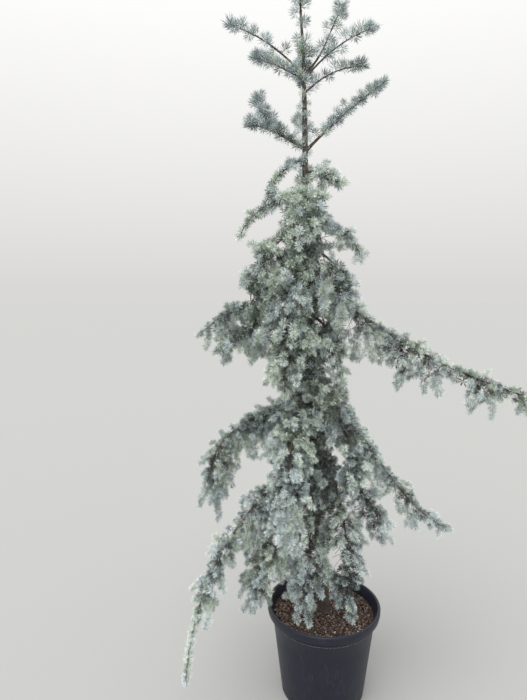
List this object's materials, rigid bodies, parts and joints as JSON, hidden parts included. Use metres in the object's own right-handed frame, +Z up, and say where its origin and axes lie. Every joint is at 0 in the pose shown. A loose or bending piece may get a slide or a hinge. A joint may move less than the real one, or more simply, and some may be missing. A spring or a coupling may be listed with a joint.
{
  "type": "young potted cedar tree",
  "caption": "Young blue-grey cedar with a thin leaning trunk and drooping boughs in tiers of short needle tufts, standing in a black nursery pot of bark compost.",
  "frame": {"origin": "centre of the pot's flat underside, on the surface that it stands on", "axes": "+Z up along the tree; the longest bough reaches out along +X; the side shown in the picture faces -Y"},
  "size_m": [1.3271, 0.7431, 2.6551],
  "materials": {
    "pot": "moulded black polypropylene, satin, dusty and scuffed",
    "compost": "loose bark compost with white perlite",
    "bark": "grey-brown young bark, finely fissured",
    "needles": "waxy blue-grey needles in tufts"
  },
  "bodies": {
    "root": {"pot": "pot", "compost": "compost", "trunk": "bark", "bough_top_left": "bark", "bough_top_right_steep": "bark", "bough_top_right_flat": "bark", "bough_top_right_low": "bark", "bough_right_rising": "bark", "bough_left_rising": "bark", "bough_right_long": "bark", "bough_left_low": "bark", "bough_right_low": "bark", "bough_left_weeping": "bark", "foliage_leader": "needles", "foliage_heart": "needles", "foliage_top_left": "needles", "foliage_top_left_low": "needles", "foliage_top_right_steep": "needles", "foliage_top_right_flat": "needles", "foliage_top_right_low": "needles", "foliage_top_back": "needles", "foliage_right_rising": "needles", "foliage_left_rising": "needles", "foliage_left_rising_low": "needles", "foliage_upper_back": "needles", "foliage_arch_left_upper": "needles", "foliage_arch_left_long": "needles", "foliage_right_short": "needles", "foliage_column_front": "needles", "foliage_arch_right": "needles", "foliage_arch_back_left": "needles", "foliage_arch_back_right": "needles", "foliage_left_mid": "needles", "foliage_front_mid": "needles", "foliage_right_mid": "needles", "foliage_left_layer": "needles", "foliage_left_layer_low": "needles", "foliage_right_long_inner": "needles", "foliage_right_long_middle": "needles", "foliage_right_long_tip": "needles", "foliage_waist_right": "needles", "foliage_back_mid_left": "needles", "foliage_back_mid_right": "needles", "foliage_back_mid_centre": "needles", "foliage_left_low_inner": "needles", "foliage_left_low_tip": "needles", "foliage_right_low_inner": "needles", "foliage_right_low_tip": "needles", "foliage_right_inner": "needles", "foliage_front_left": "needles", "foliage_front_right": "needles", "foliage_left_weeping_inner": "needles", "foliage_left_weeping_middle": "needles", "foliage_left_weeping_tip": "needles", "foliage_left_low_front": "needles", "foliage_front_low_left": "needles", "foliage_front_skirt": "needles", "foliage_back_low_left": "needles", "foliage_back_low_centre": "needles", "foliage_back_low_right": "needles"}
  },
  "joints": []
}
